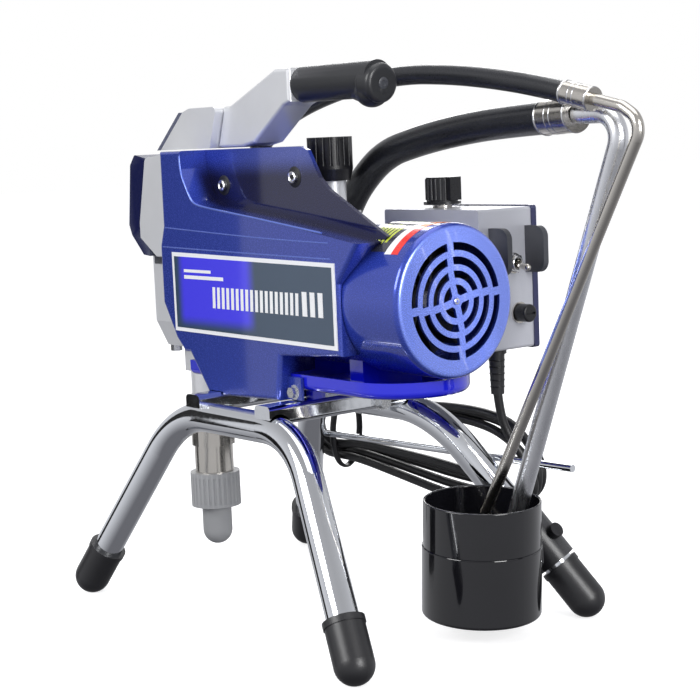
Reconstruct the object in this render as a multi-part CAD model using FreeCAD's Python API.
import FreeCAD, Part
import math
import os

from FreeCAD import Vector as V

# ---------------------------------------------------------------------------------------------
# Electric airless paint sprayer on a four-legged tube stand.
# Working axes: X along the motor (fan end +X), -Y the name-panel side, +Z up, floor at z = 0.
# Everything is drawn about the motor's axis and shifted at the end to the footprint's centre.
# ---------------------------------------------------------------------------------------------
FOOTPRINT_CENTRE = (3.6, 8.5)       # centre of the stand and cup on the floor, in the drawing axes

# stand
TUBE_R = 12.5
TUBE_WALL = 2.0
BAR_Z = 167.5                       # height of the arches' top bars
BAR_HALF = 82.0                     # half distance between the bend corners
FRONT_BAR_Y = -76.6
REAR_BAR_Y = 64.0
FOOT_X = 186.0
FRONT_FOOT_Y = -112.0
REAR_FOOT_Y = 129.0
FOOT_R = 15.5
FOOT_LENGTH = 50.0
FOOT_SINK = 0.6                     # the dome is cut flat this far up, so a foot rests on a face
BEND_R = 75.0
CROSS_X = 49.0                      # the two cross bars stand at +-CROSS_X
CROSS_W = 20.0
CROSS_Z0 = 171.0
CROSS_Z1 = 187.0
HANGER = ((-128.0, 99.0, 121.5), (204.0, 99.0, 128.5))      # the rod that the cord hangs on

# motor
MOTOR_Z = 268.0
CAN_R = 56.0
CAN_X0 = -20.0
CAN_X1 = 124.0
COVER_R = 58.5
COVER_X1 = 185.0
SHAFT_R = 6.0
FIT = 0.05                          # radial clearance of every running fit
TRAY_Z0 = 195.0
TRAY_Z1 = 208.0
TRAY_HALF = 50.0

# drive
CRANK_Z = 330.0
CRANK_THROW = 10.0
STAGE1 = dict(module=1.0, pinion=12, wheel=48, x0=-88.0, x1=-76.0)
STAGE2 = dict(module=1.25, pinion=14, wheel=56, x0=-110.0, x1=-94.0)
ROD_LENGTH = 70.0
PIN_R = 7.0

# pump
PUMP_X = -150.0
PISTON_ROD_R = 9.0
BORE_R = 13.0
TONGUE_LENGTH = 28.0                # flat top of the piston rod, long enough for the whole stroke

# control box
BOX_X0, BOX_X1 = 34.0, 147.5
BOX_Y0, BOX_Y1 = 59.5, 116.6
BOX_Z0, BOX_Z1 = 219.0, 332.0
BACK_Y1 = 122.0

# cup
CUP_X, CUP_Y = 159.7, 40.3
CUP_Z0 = 13.5
CUP_HEIGHT = 91.0
CUP_R = 47.2
CUP_WALL = 1.8
CUP_TILT = 3.0

# cord and hoses
CORD_R = 3.75
DRAIN_HOSE_R = 8.0
SUCTION_HOSE_R = 12.75
DRAIN_TUBE_R = 4.5
SUCTION_TUBE_R = 7.3

os.makedirs("parts", exist_ok=True)
SAVED = {}

# centre lines of the hoses, tubes and mains cord
DRAIN_ROUTE = [(-149, 60, 378.5), (-124, 60, 399.5), (-78, 60, 419.5), (-10, 59.5, 434.5), (62, 58, 441),
               (122, 57, 438), (174, 56, 432), (222, 54.2, 424.2), (251, 52.5, 418)]
SUCTION_ROUTE = [(-94.5, 102, 219.5), (-94.5, 102, 257.5), (-84.7, 101, 294.4), (-65.6, 99, 327.5),
                 (-38.6, 96, 354.5), (1, 91, 377.5), (52, 87.5, 388), (105, 83, 395), (160, 77.5, 399.3),
                 (213, 71, 401)]
DRAIN_TUBE = [(308, 50, 405.5), (327, 50, 394), (127, 42.7, 33)]
SUCTION_TUBE = [(296, 67.5, 402), (154, 57.5, 24)]
CORD_ROUTE = [(126, 95, 181), (126.5, 97, 161), (131, 103, 143), (142, 110, 124)]
VALVE = (-161.3, 368.2)             # drain valve's axis, X and Z


# ------------------------------------------------------------------------------- helpers
def save(name, shape):
    """Shift a node to the footprint's centre and write it."""
    moved = shape.copy()
    moved.translate(V(-FOOTPRINT_CENTRE[0], -FOOTPRINT_CENTRE[1], 0))
    moved.exportStep("parts/%s.step" % name)
    SAVED[name] = moved


def box(x0, x1, y0, y1, z0, z1):
    return Part.makeBox(x1 - x0, y1 - y0, z1 - z0, V(x0, y0, z0))


def cyl(r, start, end):
    """Cylinder of radius r between two points."""
    axis = V(*end) - V(*start)
    return Part.makeCylinder(r, axis.Length, V(*start), axis)


def ring(r_out, r_in, start, end):
    return cyl(r_out, start, end).cut(cyl(r_in, start, end))


def cone(r0, r1, start, end):
    axis = V(*end) - V(*start)
    return Part.makeCone(r0, r1, axis.Length, V(*start), axis)


def prism_xz(points, y0, y1):
    """Polygon given in X and Z, pushed along Y."""
    wire = Part.makePolygon([V(x, y0, z) for x, z in points + points[:1]])
    return Part.Face(wire).extrude(V(0, y1 - y0, 0))


def prism_yz(points, x0, x1):
    """Polygon given in Y and Z, pushed along X."""
    wire = Part.makePolygon([V(x0, y, z) for y, z in points + points[:1]])
    return Part.Face(wire).extrude(V(x1 - x0, 0, 0))


def prism_xy(points, z0, z1):
    """Polygon given in X and Y, pushed along Z."""
    wire = Part.makePolygon([V(x, y, z0) for x, y in points + points[:1]])
    return Part.Face(wire).extrude(V(0, 0, z1 - z0))


def hexagon(across, start, end):
    """Hexagonal bar across flats, between two points."""
    axis = V(*end) - V(*start)
    r = across / math.sqrt(3)
    points = [V(r * math.cos(math.radians(60 * i)), r * math.sin(math.radians(60 * i)), 0) for i in range(7)]
    bar = Part.Face(Part.makePolygon(points)).extrude(V(0, 0, axis.Length))
    bar.Placement = FreeCAD.Placement(V(*start), FreeCAD.Rotation(V(0, 0, 1), axis))
    return bar


def along(edge, axis):
    """True when a straight edge runs along the given axis."""
    if edge.Curve.TypeId != "Part::GeomLine":
        return False
    return abs(abs(edge.Curve.Direction.dot(V(*axis))) - 1) < 1e-6


def rounded(shape, radius, test):
    """Fillet the edges that pass the test."""
    edges = [e for e in shape.Edges if test(e)]
    return shape.makeFillet(radius, edges)


def union(shapes):
    out = shapes[0]
    for other in shapes[1:]:
        out = out.fuse(other)
    return out.removeSplitter()


def group(solids):
    return Part.makeCompound(solids)


def route(points, radius=None):
    """Straight runs joined by tangent arcs: 0.45 of the shorter run over the tangent of half the turn."""
    points = [V(*p) for p in points]
    edges = []
    radii = []
    start = points[0]
    for i in range(1, len(points) - 1):
        before = (points[i] - points[i - 1])
        after = (points[i + 1] - points[i])
        u, w = V(before).normalize(), V(after).normalize()
        turn = u.getAngle(w)
        r = radius or 0.45 * min(before.Length, after.Length) / math.tan(turn / 2)
        reach = r * math.tan(turn / 2)
        radii.append(r)
        a = points[i] - u * reach
        b = points[i] + w * reach
        toward = (w - u).normalize()
        middle = points[i] + toward * (r / math.cos(turn / 2) - r)
        edges.append(Part.LineSegment(start, a).toShape())
        edges.append(Part.Arc(a, middle, b).toShape())
        start = b
    edges.append(Part.LineSegment(start, points[-1]).toShape())
    return Part.Wire(edges), radii


def tube(points, r, radius=None, label=None, inner=0.0):
    """Round bar or pipe along a route; prints the bend radii of a flexible one."""
    wire, radii = route(points, radius)
    begin = V(*points[0])
    direction = V(*points[1]) - begin
    solids = []
    for size in ([r, inner] if inner else [r]):
        circle = Part.Wire(Part.makeCircle(size, begin, direction))
        solids.append(wire.makePipeShell([circle], True, True))
    body = solids[0].cut(solids[1]) if inner else solids[0]
    if label:
        expected = math.pi * r * r * wire.Length
        print("%s: length %.0f mm, tightest radii %s, volume ratio %.3f"
              % (label, wire.Length, sorted(round(x) for x in radii)[:3], body.Volume / expected))
    return body


def point_on(a, b, z):
    """Point on the line a-b at height z."""
    t = (z - a[2]) / (b[2] - a[2])
    return tuple(a[i] + (b[i] - a[i]) * t for i in range(3))


def between(a, b, length):
    """Point at a length from a, towards b."""
    step = (V(*b) - V(*a)).normalize() * length
    return tuple(V(*a) + step)


# ------------------------------------------------------------------------------- gears
def gear(module, teeth, x0, x1, y, z, tooth_angle):
    """Involute spur gear about an X axis; one tooth is centred on tooth_angle in the YZ plane."""
    pressure = math.radians(20)
    backlash = 0.16
    pitch_r = module * teeth / 2
    base_r = pitch_r * math.cos(pressure)
    tip_r = pitch_r + 0.9 * module
    root_r = pitch_r - 1.25 * module
    half = math.pi / (2 * teeth) - backlash / (2 * pitch_r)
    inv_pitch = math.tan(pressure) - pressure
    points = []
    steps = 5
    low_r = max(base_r, root_r)
    for i in range(teeth):
        centre = tooth_angle + 2 * math.pi * i / teeth
        flank = []
        for k in range(steps):
            r = low_r + (tip_r - low_r) * k / (steps - 1)
            a = math.acos(min(1.0, base_r / r))
            angle = half + inv_pitch - (math.tan(a) - a)
            flank.append((r, angle))
        if root_r < low_r:
            flank.insert(0, (root_r, flank[0][1]))
        for r, angle in flank:
            points.append((r, centre - angle))
        for r, angle in reversed(flank):
            points.append((r, centre + angle))
    corners = [V(x0, y + r * math.cos(a), z + r * math.sin(a)) for r, a in points]
    wire = Part.makePolygon(corners + corners[:1])
    return Part.Face(wire).extrude(V(x1 - x0, 0, 0))


def idler_place():
    """Idler axis: the point that meets both stages' centre distances."""
    a = STAGE1["module"] * (STAGE1["pinion"] + STAGE1["wheel"]) / 2
    b = STAGE2["module"] * (STAGE2["pinion"] + STAGE2["wheel"]) / 2
    c = CRANK_Z - MOTOR_Z
    up = (a * a - b * b + c * c) / (2 * c)
    side = math.sqrt(a * a - up * up)
    return -side, MOTOR_Z + up


IDLER_Y, IDLER_Z = idler_place()


# ------------------------------------------------------------------------------- stand
def arch_points(bar_y, foot_y):
    return [(-FOOT_X, foot_y, FOOT_R - FOOT_SINK), (-BAR_HALF, bar_y, BAR_Z),
            (BAR_HALF, bar_y, BAR_Z), (FOOT_X, foot_y, FOOT_R - FOOT_SINK)]


def leg_arch(bar_y, foot_y):
    return tube(arch_points(bar_y, foot_y), TUBE_R, radius=BEND_R, inner=TUBE_R - TUBE_WALL)


def rubber_foot(x, foot_y, bar_y):
    """Domed boot over a tube end, with a small flat under the dome."""
    low = (x, foot_y, FOOT_R - FOOT_SINK)
    high = (math.copysign(BAR_HALF, x), bar_y, BAR_Z)
    top = between(low, high, FOOT_LENGTH - FOOT_R)
    boot = cyl(FOOT_R, low, top).fuse(Part.makeSphere(FOOT_R, V(*low)))
    lip = between(low, high, FOOT_LENGTH - FOOT_R - 5)
    boot = boot.fuse(cyl(FOOT_R + 0.8, lip, top))
    boot = boot.cut(cyl(TUBE_R, low, between(low, high, 200)))
    below = box(x - 30, x + 30, foot_y - 30, foot_y + 30, -30, 0)
    return boot.cut(below)


def cross_bar(x):
    """Box-section bar across both arches, saddled over the tubes."""
    w = CROSS_W / 2
    outer = box(x - w, x + w, FRONT_BAR_Y - 9, REAR_BAR_Y + 9, CROSS_Z0, CROSS_Z1)
    outer = rounded(outer, 4, lambda e: along(e, (0, 1, 0)))
    inner = box(x - w + 2, x + w - 2, FRONT_BAR_Y - 6, REAR_BAR_Y + 6, CROSS_Z0 + 2, CROSS_Z1 - 2)
    bar = outer.cut(inner)
    for bar_y in (FRONT_BAR_Y, REAR_BAR_Y):
        bar = bar.cut(cyl(TUBE_R, (x - 30, bar_y, BAR_Z), (x + 30, bar_y, BAR_Z)))
    return bar


def stand_bolt(x, y):
    """Hex bolt in the side of a cross bar, with a washer."""
    side = math.copysign(1, x)
    face = x + side * CROSS_W / 2
    z = CROSS_Z0 + 6
    head = hexagon(10, (face + side * 1.2, y, z), (face + side * 7, y, z))
    washer = cyl(7, (face, y, z), (face + side * 1.2, y, z))
    shank = cyl(2.9, (face, y, z), (face - side * 6, y, z))
    return union([head, washer, shank])


def make_stand():
    arches = [leg_arch(FRONT_BAR_Y, FRONT_FOOT_Y), leg_arch(REAR_BAR_Y, REAR_FOOT_Y)]
    save("leg_arches", group(arches))
    feet = []
    for foot_y, bar_y in ((FRONT_FOOT_Y, FRONT_BAR_Y), (REAR_FOOT_Y, REAR_BAR_Y)):
        feet += [rubber_foot(x, foot_y, bar_y) for x in (-FOOT_X, FOOT_X)]
    save("rubber_feet", group(feet))
    bolts = [stand_bolt(x, 27.0) for x in (-CROSS_X, CROSS_X)]
    bars = [cross_bar(x) for x in (-CROSS_X, CROSS_X)]
    bars = [bar.cut(group(bolts)) for bar in bars]
    save("stand_cross_bars", group(bars))
    rod = cyl(3.0, HANGER[0], HANGER[1])
    rod = rod.cut(group(arches))
    save("cord_hanger", rod)
    return bolts


# ------------------------------------------------------------------------------- base tray
def make_tray():
    """Pressed tray with a full-round fan end and a rolled rim."""
    x0, x1 = -104.0, 123.0
    rim = 4.5
    plan = box(x0, x1, -TRAY_HALF, TRAY_HALF, TRAY_Z0, TRAY_Z1)
    plan = plan.fuse(cyl(TRAY_HALF, (x1, 0, TRAY_Z0), (x1, 0, TRAY_Z1))).removeSplitter()
    plan = rounded(plan, 5.5, lambda e: abs(e.CenterOfMass.z - TRAY_Z0) < 0.1)
    well = box(x0 + rim, x1, -TRAY_HALF + rim, TRAY_HALF - rim, TRAY_Z0 + 3, TRAY_Z1 + 1)
    well = well.fuse(cyl(TRAY_HALF - rim, (x1, 0, TRAY_Z0 + 3), (x1, 0, TRAY_Z1 + 1))).removeSplitter()
    tray = plan.cut(well)
    for x in (10.0, 100.0):
        saddle = box(x - 8, x + 8, -30, 30, TRAY_Z0 + 3, MOTOR_Z - 40)
        tray = tray.fuse(saddle)
    for x in (-CROSS_X, CROSS_X):
        for y in (-32, 32):
            tray = tray.fuse(cyl(8, (x, y, CROSS_Z1), (x, y, TRAY_Z0 + 1)))
    tray = tray.cut(cyl(CAN_R, (CAN_X0 - 60, 0, MOTOR_Z), (CAN_X1 + 80, 0, MOTOR_Z)))
    tray = tray.cut(cyl(COVER_R + 0.4, (CAN_X1 - 6, 0, MOTOR_Z), (200, 0, MOTOR_Z)))
    save("base_tray", tray.removeSplitter())


# ------------------------------------------------------------------------------- motor
def at_motor(x, y=0.0, z=0.0):
    return (x, y, MOTOR_Z + z)


def cover_slots():
    """Four rings of curved slots; the ribs of neighbouring rings are turned against each other."""
    rings = [(38.2, 44.1, 4, 8.0, 6.0), (27.6, 33.4, 4, 10.0, 9.0), (17.4, 23.0, 4, 14.0, 12.0),
             (5.6, 12.6, 4, 26.0, 14.0)]
    slots = []
    for inner, outer, count, gap_deg, first_deg in rings:
        band = ring(outer, inner, (COVER_X1 - 8, 0, 0), (COVER_X1 + 4, 0, 0))
        for i in range(count):
            angle = first_deg + 360.0 * i / count
            rib = box(COVER_X1 - 9, COVER_X1 + 5, 0, outer + 2, -outer * math.radians(gap_deg) / 2,
                      outer * math.radians(gap_deg) / 2)
            rib.rotate(V(0, 0, 0), V(1, 0, 0), angle)
            band = band.cut(rib)
        band.translate(V(0, 0, MOTOR_Z))
        slots.append(band)
    return slots


def make_motor():
    can = ring(CAN_R, CAN_R - 3, at_motor(CAN_X0), at_motor(CAN_X1))
    save("motor_can", can)
    magnet = ring(CAN_R - 3.2, 34, at_motor(5), at_motor(88))
    gap = box(0, 95, -13, 13, MOTOR_Z - 60, MOTOR_Z + 60)
    magnets = magnet.cut(gap)
    save("field_magnets", group(magnets.Solids))
    front = cyl(CAN_R - 3, at_motor(CAN_X0), at_motor(CAN_X0 + 8))
    front = front.fuse(cyl(20, at_motor(CAN_X0 + 8), at_motor(CAN_X0 + 16)))
    front = front.cut(cyl(13, at_motor(CAN_X0 - 1), at_motor(CAN_X0 + 12)))
    front = front.cut(cyl(SHAFT_R + 2, at_motor(CAN_X0), at_motor(CAN_X0 + 20)))
    rear = cyl(CAN_R - 3, at_motor(CAN_X1 - 8), at_motor(CAN_X1))
    rear = rear.cut(cyl(13, at_motor(CAN_X1 - 6), at_motor(CAN_X1 + 2)))
    rear = rear.cut(cyl(SHAFT_R + 2, at_motor(CAN_X1 - 10), at_motor(CAN_X1 + 2)))
    for i in range(6):
        a = math.radians(60 * i + 30)
        vent = (CAN_X1 - 10, 36 * math.cos(a), MOTOR_Z + 36 * math.sin(a))
        rear = rear.cut(cyl(8, vent, (CAN_X1 + 2, vent[1], vent[2])))
    save("motor_end_bells", group([front.removeSplitter(), rear]))
    bearings = [ring(13, SHAFT_R + FIT, at_motor(CAN_X0), at_motor(CAN_X0 + 11)),
                ring(13, SHAFT_R + FIT, at_motor(CAN_X1 - 6), at_motor(CAN_X1))]
    bearings.append(ring(22, 12 + FIT, (-130, 0, CRANK_Z), (-118, 0, CRANK_Z)))
    bearings.append(ring(14, 8 + FIT, (-72, 0, CRANK_Z), (-62, 0, CRANK_Z)))
    bearings.append(ring(10, 5 + FIT, (-124, IDLER_Y, IDLER_Z), (-118, IDLER_Y, IDLER_Z)))
    bearings.append(ring(10, 5 + FIT, (-72, IDLER_Y, IDLER_Z), (-62, IDLER_Y, IDLER_Z)))
    save("bearings", group(bearings))

    mesh1 = math.atan2(IDLER_Z - MOTOR_Z, IDLER_Y)
    pinion = gear(STAGE1["module"], STAGE1["pinion"], STAGE1["x0"] - 1, STAGE1["x1"] + 1, 0, MOTOR_Z, mesh1)
    shaft = cyl(SHAFT_R, at_motor(STAGE1["x1"] + 3), at_motor(152))
    shaft = shaft.fuse(cyl(4.3, at_motor(STAGE1["x0"] - 1), at_motor(STAGE1["x1"] + 4))).fuse(pinion)
    save("armature_shaft", shaft.removeSplitter())
    core = ring(32, SHAFT_R, at_motor(12), at_motor(80))
    for i in range(12):
        a = 2 * math.pi * i / 12
        slot = (10, 29 * math.cos(a), MOTOR_Z + 29 * math.sin(a))
        core = core.cut(cyl(2.6, slot, (82, slot[1], slot[2])))
    save("armature_core", core)
    save("commutator", ring(15, SHAFT_R, at_motor(92), at_motor(108)))
    brushes = [box(96, 105, side * 15.4 if side > 0 else -46, 46 if side > 0 else -15.4,
                   MOTOR_Z - 4, MOTOR_Z + 4) for side in (1, -1)]
    save("carbon_brushes", group(brushes))

    hub = ring(13, SHAFT_R, at_motor(130), at_motor(150))
    disc = ring(50, 12, at_motor(130), at_motor(133))
    fan = hub.fuse(disc)
    for i in range(11):
        blade = box(132, 150, 14, 49, -1.1, 1.1)
        blade.rotate(V(140, 14, 0), V(1, 0, 0), 22)
        blade.rotate(V(0, 0, 0), V(1, 0, 0), 360.0 * i / 11)
        blade.translate(V(0, 0, MOTOR_Z))
        fan = fan.fuse(blade)
    save("cooling_fan", fan.removeSplitter())

    cover = cyl(COVER_R, at_motor(CAN_X1 - 5), at_motor(COVER_X1))
    cover = rounded(cover, 5, lambda e: abs(e.CenterOfMass.x - COVER_X1) < 0.1)
    hollow = cyl(COVER_R - 2.5, at_motor(CAN_X1), at_motor(COVER_X1 - 2.5))
    cover = cover.cut(hollow).cut(cyl(CAN_R, at_motor(CAN_X1 - 6), at_motor(CAN_X1)))
    cover = cover.cut(group(cover_slots()))
    cover = cover.fuse(cyl(3.0, at_motor(COVER_X1 - 1), at_motor(COVER_X1 + 0.8)))
    save("fan_cover", cover.removeSplitter())


# ------------------------------------------------------------------------------- drive
def gear_case(x1, step_x, y0, y1, z0, step_z, z1, step_y):
    """Block for the gears; its rear upper corner steps back where the shroud is recessed."""
    low = box(-118, x1, y0, y1, z0, step_z)
    front = box(-118, step_x, y0, y1, z0, z1)
    high = box(-118, x1, step_y, y1, z0, z1)
    return rounded(union([low, front, high]), 4, lambda e: along(e, (1, 0, 0)))


def make_drive():
    mesh1 = math.atan2(IDLER_Z - MOTOR_Z, IDLER_Y)
    mesh2 = math.atan2(CRANK_Z - IDLER_Z, -IDLER_Y)
    half1 = math.pi / STAGE1["wheel"]
    wheel = gear(STAGE1["module"], STAGE1["wheel"], STAGE1["x0"], STAGE1["x1"], IDLER_Y, IDLER_Z,
                 mesh1 + math.pi + half1)
    small = gear(STAGE2["module"], STAGE2["pinion"], STAGE2["x0"] - 1, STAGE1["x0"], IDLER_Y, IDLER_Z, mesh2)
    axle = cyl(5, (-124, IDLER_Y, IDLER_Z), (-62, IDLER_Y, IDLER_Z))
    save("idler_gear", union([wheel, small, axle]))

    half2 = math.pi / STAGE2["wheel"]
    big = gear(STAGE2["module"], STAGE2["wheel"], STAGE2["x0"], STAGE2["x1"], 0, CRANK_Z,
               mesh2 + math.pi + half2)
    parts = [big,
             cyl(12, (-133, 0, CRANK_Z), (STAGE2["x1"], 0, CRANK_Z)),
             cyl(8, (STAGE2["x1"], 0, CRANK_Z), (-62, 0, CRANK_Z)),
             cyl(21, (-141, 0, CRANK_Z), (-132, 0, CRANK_Z)),
             cyl(PIN_R, (-160, 0, CRANK_Z + CRANK_THROW), (-141, 0, CRANK_Z + CRANK_THROW))]
    save("crankshaft", union(parts))

    housing = gear_case(-58, -89, -50, 46, 236, 334, 372, -31.5)
    housing = housing.cut(gear_case(-72, -93.2, -46, 42, 240, 330, 368, -27.5))
    housing = housing.cut(cyl(14, (-72, 0, CRANK_Z), (-62, 0, CRANK_Z)))
    housing = housing.cut(cyl(10, (-72, IDLER_Y, IDLER_Z), (-62, IDLER_Y, IDLER_Z)))
    housing = housing.cut(cyl(SHAFT_R + 1.5, at_motor(-75), at_motor(-50)))
    nose = ring(30, 16, at_motor(-58), at_motor(CAN_X0))
    housing = housing.fuse(nose).removeSplitter()
    save("gearbox_housing", housing)

    small_z = CRANK_Z + CRANK_THROW - ROD_LENGTH
    big_end = cyl(13, (-157, 0, CRANK_Z + CRANK_THROW), (-143, 0, CRANK_Z + CRANK_THROW))
    shank = box(-157, -143, -7, 7, small_z + 34, CRANK_Z + CRANK_THROW)
    rod = union([big_end, shank])
    for x0, x1 in ((-157, -154.5), (-145.5, -143)):
        cheek = box(x0, x1, -9, 9, small_z - 6, small_z + 34)
        rod = rod.fuse(cheek)
    rod = rod.cut(cyl(PIN_R + FIT, (-160, 0, CRANK_Z + CRANK_THROW), (-140, 0, CRANK_Z + CRANK_THROW)))
    save("connecting_rod", rod.removeSplitter())


def casting_outline(offset=0.0):
    """Side outline of the front housing; the offset moves it inward."""
    return [(-160 + offset, 382 - offset), (-118 - offset, 386 - offset), (-118 - offset, 296),
            (-130, 296), (-149, 296), (-174 + offset, 312), (-174 + offset, 325)]


def make_front():
    """Front housing that carries the crank bearing above and the pump below."""
    upper = prism_xz(casting_outline(), -50, 50)
    upper = rounded(upper, 5, lambda e: along(e, (0, 1, 0)) and e.CenterOfMass.z > 350)
    lower = prism_yz([(-38, 300), (38, 300), (38, 237), (27, 214), (-27, 214), (-38, 237)], -178, -118)
    lower = rounded(lower, 5, lambda e: e.CenterOfMass.x < -170 and abs(e.CenterOfMass.y) > 25)
    boss = cyl(14, (VALVE[0], 40, VALVE[1]), (VALVE[0], 52, VALVE[1]))
    casting = union([upper, lower, boss])
    room = box(-172, -131, -38, 38, 288, 374)
    throat = box(-168, -133, -24, 24, 226, 300)
    casting = casting.cut(room).cut(throat)
    casting = casting.cut(cyl(22, (-132, 0, CRANK_Z), (-110, 0, CRANK_Z)))
    casting = casting.cut(cyl(10, (-124, IDLER_Y, IDLER_Z), (-110, IDLER_Y, IDLER_Z)))
    casting = casting.cut(cyl(14, (PUMP_X, 0, 205), (PUMP_X, 0, 230)))
    casting = casting.cut(prism_xz([(-172, 374), (-168, 330), (-180, 330), (-190, 374)], -38, 38))
    save("front_housing", casting.removeSplitter())

    outline = [(-160, 382), (-177, 385), (-185, 376), (-192, 323), (-188, 314), (-170, 297), (-160, 296),
               (-160, 303), (-174, 312), (-174, 325)]
    cover = prism_xz(outline, -50, 50)
    cover = rounded(cover, 3, lambda e: along(e, (0, 1, 0)) and e.CenterOfMass.x < -176)
    cover = cover.cut(casting).cut(upper)
    largest = max(cover.Solids, key=lambda s: s.Volume)
    heads = []
    for y in (-40, 40):
        for z in (332, 368):
            start = (-196, y, z)
            hole = cyl(2.6, start, (-176, y, z))
            largest = largest.cut(hole).cut(cyl(4.6, (-200, y, z), (-186, y, z)))
            screw = cyl(4.4, (-188.5, y, z), (-186, y, z)).fuse(cyl(2.5, (-186, y, z), (-176.5, y, z)))
            heads.append(screw.removeSplitter())
    heads.append(cyl(5.5, (-181.5, -22, 254), (-178, -22, 254)))
    heads.append(hexagon(9, (-168, -22.4, 208.5), (-168, -22.4, 214)))
    save("front_cover", largest)
    return heads


# ------------------------------------------------------------------------------- shroud
SHROUD = [(-118, 387), (-118, 324), (-124, 307), (-124, 258), (-106, 228), (-94, 217), (-86, 217),
          (-59, 183), (38, 187), (44, 223), (121, 228), (121, 283), (149, 318), (81, 353), (70, 362),
          (63, 373), (56, 384), (45, 387)]
SHROUD_Y0 = -62.0
SHROUD_Y1 = 34.0
RECESS = [(-87, 390), (-86, 372), (-71, 345), (-54, 340.5), (29, 331), (160, 312), (160, 400)]
RECESS_Y = -35.0
SHEET = 2.5


def inward(points, distance):
    """The same outline moved inward by a distance."""
    wire = Part.makePolygon([V(x, 0, z) for x, z in points + points[:1]])
    face = Part.Face(wire).makeOffset2D(-distance, join=2)
    return face


def make_shroud():
    outer = prism_xz(SHROUD, SHROUD_Y0, SHROUD_Y1)
    outer = rounded(outer, 3.5, lambda e: abs(e.CenterOfMass.y - SHROUD_Y0) < 0.1)
    core = inward(SHROUD, SHEET)
    hollow = core.extrude(V(0, SHROUD_Y1 - SHROUD_Y0 + 20, 0))
    hollow.translate(V(0, SHROUD_Y0 + SHEET, 0))
    far_wall = box(-150, 160, SHROUD_Y1 - SHEET, SHROUD_Y1, MOTOR_Z + CAN_R + 4, 400)
    recess = prism_xz(RECESS, SHROUD_Y0 - 5, RECESS_Y)
    skin = prism_xz([(-90, 400), (-89, 371), (-73, 343), (-54, 338), (29, 328.5), (160, 309), (160, 400)],
                    SHROUD_Y0 - 5, RECESS_Y + SHEET)
    shell = outer.cut(hollow.cut(far_wall))
    shell = shell.cut(recess)
    lining = outer.common(skin).cut(recess)
    shell = shell.fuse(lining)
    floor_opening = box(-58, 37, SHROUD_Y0 + SHEET, SHROUD_Y1 + 5, 170, 200)
    shell = shell.cut(floor_opening)
    room = box(-124, -110, -50.2, 50.2, 294, 386.5)
    shell = shell.cut(room)
    shell = shell.cut(cyl(CAN_R + 0.5, at_motor(CAN_X0 - 2), at_motor(200)))
    shell = shell.cut(cyl(COVER_R + 0.5, at_motor(CAN_X1 - 6), at_motor(200)))
    shell = shell.cut(gear_case(-57.8, -88.8, -50.2, 46.2, 235.8, 334.2, 372.2, -31.7))
    shell = shell.cut(box(-180, -115, -50.2, 50.2, 213, 400))
    shell = shell.cut(box(-110, 200, -TRAY_HALF - 0.4, TRAY_HALF + 1, TRAY_Z0 - 2, TRAY_Z1 + 0.4))
    for x in (-CROSS_X, CROSS_X):
        shell = shell.cut(box(x - CROSS_W / 2 - 0.4, x + CROSS_W / 2 + 0.4, -90, 80, 160, CROSS_Z1 + 0.4))
    behind = prism_xy([(50, RECESS_Y + SHEET + 1), (50, 80), (-170, 80), (-45, SHROUD_Y1)], 170, 400)
    beyond = prism_xy([(50, RECESS_Y + SHEET + 1), (50, 80), (200, 80), (200, RECESS_Y + SHEET + 1)], 170, 400)
    shell = shell.cut(behind).cut(beyond)
    body = max(shell.removeSplitter().Solids, key=lambda s: s.Volume)
    screws = []
    for x, z in ((-61, 357), (38, 363)):
        body = body.cut(cyl(2.6, (x, -40, z), (x, -20, z)))
        head = cyl(4.6, (x, RECESS_Y - 3, z), (x, RECESS_Y, z))
        screws.append(head.fuse(cyl(2.5, (x, RECESS_Y, z), (x, -32, z))).removeSplitter())
    tab = box(36, 58, -53, -TRAY_HALF - 0.4, CROSS_Z1 + 0.6, 206)
    body = body.fuse(tab).cut(cyl(2.6, (50, -54, 194), (50, -50, 194)))
    tab_screw = cyl(6, (50, -54, 194), (50, -53, 194)).fuse(hexagon(8, (50, -58, 194), (50, -54, 194)))
    tab_screw = tab_screw.fuse(cyl(2.5, (50, -53, 194), (50, -50.6, 194))).removeSplitter()
    screws.append(tab_screw)
    panel = prism_xz([(-104, 235), (-104, 302), (119, 299), (119, 233)], SHROUD_Y0 - 1.0, SHROUD_Y0)
    save("name_panel", panel)
    save("main_shroud", body)
    return screws


# ------------------------------------------------------------------------------- handle
def make_handle():
    """Carrying handle: a cast post from the housing, and a bar inside the grip."""
    left = prism_xz([(-174, 388), (-136, 420), (-126, 423), (-84, 423), (-96, 388)], -24, 24)
    left = rounded(left, 4, lambda e: along(e, (0, 1, 0)) and e.CenterOfMass.z > 400)
    right = prism_xz([(-96, 388), (-84, 423), (-76, 423), (-10, 450), (10, 450), (10, 423), (0, 420),
                      (-42, 391), (-60, 388)], -16, 16)
    right = rounded(right, 3, lambda e: along(e, (1, 0, 0)) or abs(abs(e.CenterOfMass.y) - 16) < 0.1)
    bar = cyl(9, (-12, 0, 436.5), (104, 0, 436.5))
    casting = union([left, right, bar])
    plate = prism_xz([(-180, 388), (-142, 420), (-136.5, 420), (-174.5, 388)], -24, 24)
    plate = plate.cut(casting)
    save("handle_end_plate", plate)
    save("handle_casting", casting)
    grip = cyl(14.5, (10, 0, 436.5), (104, 0, 436.5))
    knob = cyl(15.5, (92, 0, 434), (110, 0, 432.5))
    knob = rounded(knob, 4, lambda e: e.Curve.TypeId == "Part::GeomCircle")
    heel = cone(9, 12.5, (72, 0, 432), (96, 0, 428))
    lobe = Part.makeSphere(14.0, V(96, 0, 428.5))
    grip = union([grip, knob, heel, lobe])
    grip = grip.cut(cyl(9, (-12, 0, 436.5), (104, 0, 436.5)))
    save("handle_grip", grip)


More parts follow.
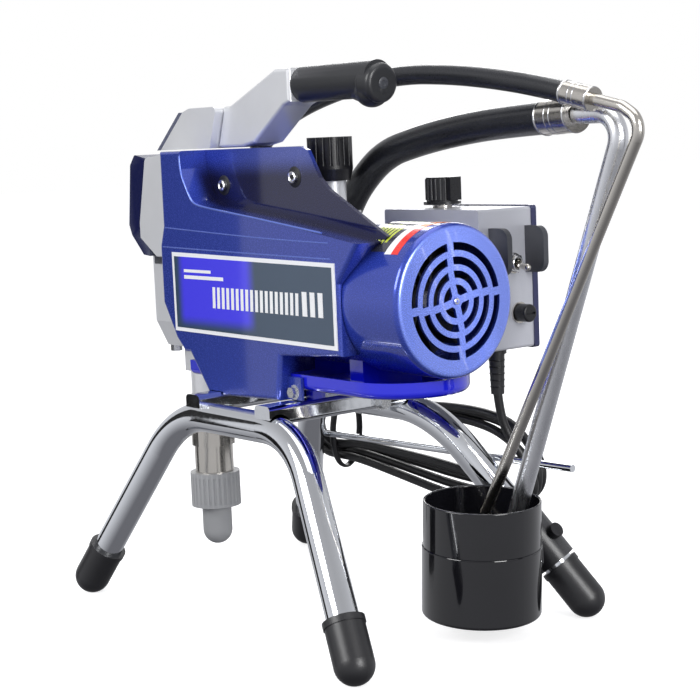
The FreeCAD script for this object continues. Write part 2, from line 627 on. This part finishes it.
# ------------------------------------------------------------------------------- pump
def at_pump(z, dx=0.0, dy=0.0):
    return (PUMP_X + dx, dy, z)


def make_pump():
    block = box(PUMP_X - 17, PUMP_X + 17, -17, 17, 190, 214)
    block = rounded(block, 5, lambda e: along(e, (0, 0, 1)))
    block = block.fuse(cyl(17, at_pump(160), at_pump(190)))
    block = block.fuse(cyl(13.5, at_pump(214), at_pump(228)))
    block = block.cut(cyl(BORE_R, at_pump(159), at_pump(222)))
    block = block.cut(cyl(PISTON_ROD_R + FIT, at_pump(220), at_pump(230)))
    save("pump_block", block.removeSplitter())
    packings = [ring(BORE_R, PISTON_ROD_R + FIT, at_pump(z), at_pump(z + 4)) for z in (198, 203, 208, 213)]
    save("throat_packings", group(packings))
    sleeve = cyl(17.4, at_pump(97), at_pump(160))
    sleeve = sleeve.fuse(hexagon(38, at_pump(122), at_pump(140)))
    sleeve = sleeve.common(cyl(19.5, at_pump(90), at_pump(170)))
    sleeve = sleeve.cut(cyl(BORE_R, at_pump(96), at_pump(161)))
    sleeve = sleeve.cut(box(PUMP_X + 15.8, PUMP_X + 20, -4, 4, 142, 158))
    rod_top = CRANK_Z + CRANK_THROW - ROD_LENGTH
    round_end = rod_top - TONGUE_LENGTH
    rod = cyl(PISTON_ROD_R, at_pump(150), at_pump(round_end))
    rod = rod.fuse(box(PUMP_X - 3.8, PUMP_X + 3.8, -8, 8, round_end - 2, rod_top + 8))
    rod = rod.fuse(cyl(BORE_R - FIT, at_pump(134), at_pump(150)))
    save("piston_rod", rod.removeSplitter())
    seat = ring(BORE_R, 5.0, at_pump(97), at_pump(103))
    seat = seat.cut(cone(5.0, 7.5, at_pump(100), at_pump(103)))
    save("pump_cylinder", group([sleeve.removeSplitter(), seat]))
    save("intake_ball", Part.makeSphere(6.0, V(PUMP_X, 0, 106.2)))
    nut = ring(22.4, 8, at_pump(66), at_pump(97))
    for i in range(30):
        a = 2 * math.pi * i / 30
        groove = (PUMP_X + 22.9 * math.cos(a), 22.9 * math.sin(a), 69)
        nut = nut.cut(cyl(1.2, groove, (groove[0], groove[1], 93)))
    save("inlet_nut", nut)
    cap = cyl(13.3, at_pump(42), at_pump(66)).fuse(Part.makeSphere(13.3, V(*at_pump(43))))
    cap = cap.fuse(cyl(7.9, at_pump(66), at_pump(74))).removeSplitter()
    save("transport_cap", cap)


# ------------------------------------------------------------------------------- fluid section
def make_fluid():
    """Filter manifold beside the drive, with its filter, cap, outlet nipple and drain valve."""
    x, y = -37.0, 60.0
    block = box(x - 22, x + 22, 46.6, 77, 262, 330)
    block = rounded(block, 5, lambda e: along(e, (0, 0, 1)))
    block = block.cut(cyl(CAN_R + 0.4, at_motor(-80), at_motor(60)))
    neck = cyl(13, (x, y, 330), (x, y, 356))
    nipple = cyl(6.6, (x, 77, 285), (x, 97, 285)).fuse(hexagon(17, (x, 77, 285), (x, 83, 285)))
    foot = box(-62, x, 46.2, 70, 270, 322)
    manifold = union([block, neck, nipple, foot])
    manifold = manifold.cut(cyl(10.5, (x, y, 275), (x, y, 360)))
    manifold = manifold.cut(cyl(3.5, (x, 60, 285), (x, 108, 285)))
    manifold = manifold.cut(cyl(CAN_R + 0.4, at_motor(-80), at_motor(60)))
    save("filter_manifold", manifold)
    element = ring(8.5, 6.0, (x, y, 275), (x, y, 346))
    save("filter_element", element)
    cap = cyl(19.5, (x, y, 366), (x, y, 393.5)).fuse(cone(17, 19.5, (x, y, 356.3), (x, y, 366)))
    cap = cap.fuse(cyl(10.2, (x, y, 346.5), (x, y, 357))).removeSplitter()
    for i in range(20):
        a = 2 * math.pi * i / 20
        groove = (x + 20.2 * math.cos(a), y + 20.2 * math.sin(a), 369)
        cap = cap.cut(cyl(1.5, groove, (groove[0], groove[1], 395)))
    save("filter_cap", cap)

    vx, vz = VALVE
    body = hexagon(20, (vx, 52, vz), (vx, 60, vz)).fuse(cyl(9.5, (vx, 60, vz), (vx, 70, vz)))
    barb = cyl(5.0, (vx, 60, vz), DRAIN_ROUTE[0])
    body = union([body, barb])
    body = body.cut(cyl(4, (vx, 66, vz), (vx, 72, vz)))
    save("drain_valve_body", body)
    stem = cyl(4 - FIT, (vx, 66.3, vz), (vx, 78, vz))
    wing = box(vx - 19, vx + 19, 71, 82, vz - 5, vz + 5)
    wing = rounded(wing, 4.5, lambda e: along(e, (0, 1, 0)))
    handle = union([stem, cyl(11, (vx, 71, vz), (vx, 80, vz)), wing])
    save("drain_valve_handle", handle)


# ------------------------------------------------------------------------------- control box
SWITCH = (95.0, 288.0)
FUSE = (101.0, 248.0)
KNOB = (70.0, 92.0)


def make_control():
    shell = box(BOX_X0, BOX_X1, BOX_Y0, BOX_Y1, BOX_Z0, BOX_Z1)
    shell = rounded(shell, 2.5, lambda e: along(e, (0, 1, 0)))
    inside = box(BOX_X0 + 2.5, BOX_X1 - 2.5, BOX_Y0 + 2.5, BOX_Y1 + 1, BOX_Z0 + 2.5, BOX_Z1 - 2.5)
    shell = shell.cut(inside)
    feet = [box(x, x + 14, 50, BOX_Y0, MOTOR_Z - 8, MOTOR_Z + 8) for x in (50, 100)]
    shell = union([shell] + feet).cut(cyl(CAN_R, at_motor(CAN_X0), at_motor(COVER_X1)))
    sy, sz = SWITCH
    fy, fz = FUSE
    kx, ky = KNOB
    shell = shell.cut(cyl(6, (BOX_X1 - 6, sy, sz), (BOX_X1 + 2, sy, sz)))
    shell = shell.cut(cyl(6, (BOX_X1 - 6, fy, fz), (BOX_X1 + 2, fy, fz)))
    shell = shell.cut(cyl(5, (kx, ky, BOX_Z1 - 6), (kx, ky, BOX_Z1 + 2)))
    shell = shell.cut(cyl(7, (126, 95, BOX_Z0 - 2), (126, 95, BOX_Z0 + 6)))
    save("control_box", shell)
    back = box(BOX_X0 - 1, BOX_X1 + 1, BOX_Y1, BACK_Y1, BOX_Z0 - 1, BOX_Z1 + 1)
    back = rounded(back, 3, lambda e: along(e, (0, 1, 0)))
    save("control_box_back", back)
    board = box(BOX_X0 + 8, BOX_X1 - 30, 103, 104.6, BOX_Z0 + 10, BOX_Z1 - 10)
    posts = [cyl(3, (x, 104.6, z), (x, BOX_Y1, z)) for x in (50, 108) for z in (236, 316)]
    save("control_board", union([board] + posts))

    switch = ring(5.9, 3.9, (BOX_X1 - 4, sy, sz), (BOX_X1 + 6, sy, sz))
    switch = switch.fuse(ring(8.2, 5.8, (BOX_X1, sy, sz), (BOX_X1 + 2.2, sy, sz)))
    can = box(BOX_X1 - 26, BOX_X1 - 3, sy - 7, sy + 7, sz - 13, sz + 13)
    can = can.cut(box(BOX_X1 - 20, BOX_X1 - 2, sy - 3.9, sy + 3.9, sz - 9, sz + 9))
    switch = union([switch, can])
    pivot = V(BOX_X1 - 1, sy, sz)
    lever = cone(1.9, 2.7, tuple(pivot), (BOX_X1 + 17, sy, sz))
    lever = lever.fuse(cyl(2.9, (BOX_X1 - 1, sy - 2.4, sz), (BOX_X1 - 1, sy + 2.4, sz)))
    lever = lever.fuse(Part.makeSphere(2.9, V(BOX_X1 + 17, sy, sz))).removeSplitter()
    lever.rotate(pivot, V(0, 1, 0), 9)
    save("switch_lever", lever)
    guards = []
    for y in (72.5, 112.0):
        fin = box(BOX_X1, BOX_X1 + 21, y - 2.6, y + 2.6, 280, 317)
        fin = rounded(fin, 9, lambda e: along(e, (0, 1, 0)) and e.CenterOfMass.x > BOX_X1 + 10)
        guards.append(fin)
    save("switch_guards", group(guards))
    holder = ring(5.9, 4.2, (BOX_X1 - 26, fy, fz), (BOX_X1 + 1.5, fy, fz))
    holder = holder.fuse(ring(8.5, 5.8, (BOX_X1, fy, fz), (BOX_X1 + 1.5, fy, fz)))
    save("toggle_switch", group([switch, holder.removeSplitter()]))
    cap = cyl(7.2, (BOX_X1 + 2, fy, fz), (BOX_X1 + 13, fy, fz))
    cap = rounded(cap, 1.5, lambda e: e.CenterOfMass.x > BOX_X1 + 12)
    cap = cap.fuse(cyl(4.2 - FIT, (BOX_X1 - 8, fy, fz), (BOX_X1 + 2, fy, fz))).removeSplitter()
    cap = cap.cut(box(BOX_X1 + 11.5, BOX_X1 + 14, fy - 5, fy + 5, fz - 0.9, fz + 0.9))
    save("fuse_cap", cap)
    pot = ring(4.9, 3.2, (kx, ky, BOX_Z1 - 8), (kx, ky, BOX_Z1 + 3))
    pot = pot.fuse(ring(8, 4.8, (kx, ky, BOX_Z1), (kx, ky, BOX_Z1 + 2)))
    pot = pot.fuse(cyl(9, (kx, ky, BOX_Z1 - 18), (kx, ky, BOX_Z1 - 8)))
    save("pressure_potentiometer", pot.removeSplitter())
    knob = cyl(15.5, (kx, ky, BOX_Z1 + 2.6), (kx, ky, BOX_Z1 + 5))
    knob = knob.fuse(cyl(13, (kx, ky, BOX_Z1 + 5), (kx, ky, BOX_Z1 + 25)))
    knob = knob.fuse(box(kx, kx + 17, ky - 6, ky + 6, BOX_Z1 + 6, BOX_Z1 + 25))
    knob = knob.fuse(cyl(3.1, (kx, ky, BOX_Z1 - 6), (kx, ky, BOX_Z1 + 4)))
    knob = knob.cut(ring(9.5, 3.2, (kx, ky, BOX_Z1 - 8), (kx, ky, BOX_Z1 + 3.4)))
    save("pressure_knob", knob.removeSplitter())
    relief = cyl(8.2, (126, 95, BOX_Z0 - 5), (126, 95, BOX_Z0))
    relief = relief.fuse(cone(5.4, 6.6, (126, 95, 181), (126, 95, BOX_Z0 - 5)))
    relief = relief.fuse(cyl(6.9, (126, 95, BOX_Z0), (126, 95, BOX_Z0 + 6))).removeSplitter()
    save("strain_relief", relief)


# ------------------------------------------------------------------------------- cup
LEG_C = ((BAR_HALF, REAR_BAR_Y, BAR_Z), (FOOT_X, REAR_FOOT_Y, FOOT_R - FOOT_SINK))
LEG_D = ((-BAR_HALF, REAR_BAR_Y, BAR_Z), (-FOOT_X, REAR_FOOT_Y, FOOT_R - FOOT_SINK))


def make_cup():
    cup = cyl(CUP_R, (0, 0, 0), (0, 0, 55)).fuse(cyl(CUP_R - 0.9, (0, 0, 55), (0, 0, CUP_HEIGHT)))
    cup = cup.removeSplitter()
    cup = rounded(cup, 3, lambda e: abs(e.CenterOfMass.z) < 0.1)
    inner = CUP_R - 0.9 - CUP_WALL
    cup = cup.cut(cyl(inner, (0, 0, 2.5), (0, 0, CUP_HEIGHT + 1)))
    cup.rotate(V(0, 0, 0), V(0, 1, 0), CUP_TILT)
    cup.translate(V(CUP_X - 2.2, CUP_Y, CUP_Z0 + 2.5))
    low = point_on(LEG_C[0], LEG_C[1], 44.0)
    high = point_on(LEG_C[0], LEG_C[1], 76.0)
    middle = point_on(LEG_C[0], LEG_C[1], 60.0)
    sleeve = cyl(17.0, low, high)
    arm = box(middle[0] - 14, middle[0] + 10, CUP_Y + 30, middle[1], 50, 72)
    hold = cyl(CUP_R + 3.2, (CUP_X, CUP_Y, 52), (CUP_X, CUP_Y, 70))
    lug = box(CUP_X - 24, CUP_X + 24, CUP_Y + 30, CUP_Y + 60, 52, 70).common(hold)
    clamp = union([sleeve, arm, lug])
    clamp = clamp.cut(cyl(TUBE_R, LEG_C[0], LEG_C[1]))
    solid_cup = cyl(CUP_R + 0.05, (0, 0, -5), (0, 0, CUP_HEIGHT))
    solid_cup.rotate(V(0, 0, 0), V(0, 1, 0), CUP_TILT)
    solid_cup.translate(V(CUP_X - 2.2, CUP_Y, CUP_Z0 + 2.5))
    clamp = clamp.cut(solid_cup)
    clamp = max(clamp.Solids, key=lambda s: s.Volume)
    out = V(0.82, 0, 0.572).normalize()
    base = V(*middle) + out * 15.5
    shank_end = V(*middle) + out * 13.2
    tip = V(*middle) + out * 21.5
    clamp = clamp.cut(cyl(3.05, tuple(V(*middle) + out * 5), tuple(base + out * 4)))
    screw = cyl(3.0, tuple(shank_end), tuple(base + out * 3.0))
    head = cyl(6.0, tuple(base + out * 2.6), tuple(tip + out * 2.0))
    screw = screw.fuse(head).removeSplitter()
    clamp = clamp.cut(cyl(6.6, tuple(base + out * 2.2), tuple(tip + out * 12)))
    save("drip_cup", cup)
    save("cup_clamp", clamp)
    save("clamp_screw", screw)


# ------------------------------------------------------------------------------- hoses and tubes

def make_hoses():
    save("drain_hose", tube(DRAIN_ROUTE, DRAIN_HOSE_R, label="drain_hose"))
    save("suction_hose", tube(SUCTION_ROUTE, SUCTION_HOSE_R, label="suction_hose"))
    a = DRAIN_ROUTE[-1]
    b = between(a, DRAIN_ROUTE[-2], -30)
    drain_ferrule = cyl(8.7, a, b)
    c = SUCTION_ROUTE[-1]
    d = between(c, SUCTION_ROUTE[-2], -36)
    suction_ferrule = cyl(13.4, c, d)
    drain = tube([b] + DRAIN_TUBE, DRAIN_TUBE_R, radius=14.0)
    save("drain_tube", drain)
    suction = tube([d] + SUCTION_TUBE, SUCTION_TUBE_R, radius=18.0)
    save("suction_tube", suction)
    end = SUCTION_ROUTE[0]
    nut_end = between(end, SUCTION_ROUTE[1], -26)
    nut = cyl(16, nut_end, end).cut(cyl(12, nut_end, between(nut_end, end, 14)))
    save("hose_fittings", group([drain_ferrule, suction_ferrule, nut]))


# ------------------------------------------------------------------------------- mains cord
HANK = [(-158, 108), (-146, 94), (-60, 88), (60, 79), (120, 76), (151, 90), (151, 126), (132, 154), (96, 164),
        (50, 164), (-60, 158), (-148, 158), (-158, 142)]
HANK_HOLE = [(-70, 125), (60, 117), (112, 117), (118, 126), (100, 138), (50, 145), (-68, 146)]
HANK_Y0, HANK_Y1 = 108.0, 131.0
TAIL = (-130.0, 107.0)              # where the lead's end rises to the plug, X and Y


def make_cord():
    save("mains_cord", tube(CORD_ROUTE, CORD_R, label="mains_cord"))
    hank = prism_xz(HANK, HANK_Y0, HANK_Y1)
    hank = rounded(hank, 8, lambda e: along(e, (0, 1, 0)))
    hank = hank.cut(prism_xz(HANK_HOLE, HANK_Y0 - 1, HANK_Y1 + 1))
    tx, ty = TAIL
    hank = hank.fuse(box(tx - 6, tx + 6, ty - 4, HANK_Y0 + 2, 114, 158))
    hank = hank.cut(tube(CORD_ROUTE, CORD_R))
    for leg in (LEG_C, LEG_D):
        hank = hank.cut(cyl(TUBE_R + 0.5, leg[0], leg[1]))
    hank = hank.cut(cyl(3.3, HANGER[0], HANGER[1]))
    save("cord_hank", max(hank.Solids, key=lambda s: s.Volume))
    body = box(tx - 10, tx + 10, ty - 9.5, ty + 9.5, 158, 186)
    body = rounded(body, 5, lambda e: along(e, (0, 0, 1)))
    pins = [cyl(2.4, (x, ty, 186), (x, ty, 205)) for x in (tx - 7, tx + 7)]
    plug = union([body] + pins)
    save("mains_plug", plug)


def main():
    screws = make_stand()
    make_tray()
    make_motor()
    make_drive()
    screws += make_front()
    screws += make_shroud()
    save("screws_and_bolts", group(screws))
    make_handle()
    make_pump()
    make_fluid()
    make_control()
    make_cup()
    make_hoses()
    make_cord()
    loose = {"mains_cord", "cord_hank", "mains_plug", "suction_hose", "drain_hose", "hose_fittings",
             "suction_tube", "drain_tube"}
    fixed = group([s for n, s in SAVED.items() if n not in loose]).BoundBox
    print("%d nodes; box without cords and hoses x %.1f %.1f  y %.1f %.1f  z %.1f %.1f"
          % (len(SAVED), fixed.XMin, fixed.XMax, fixed.YMin, fixed.YMax, fixed.ZMin, fixed.ZMax))


main()
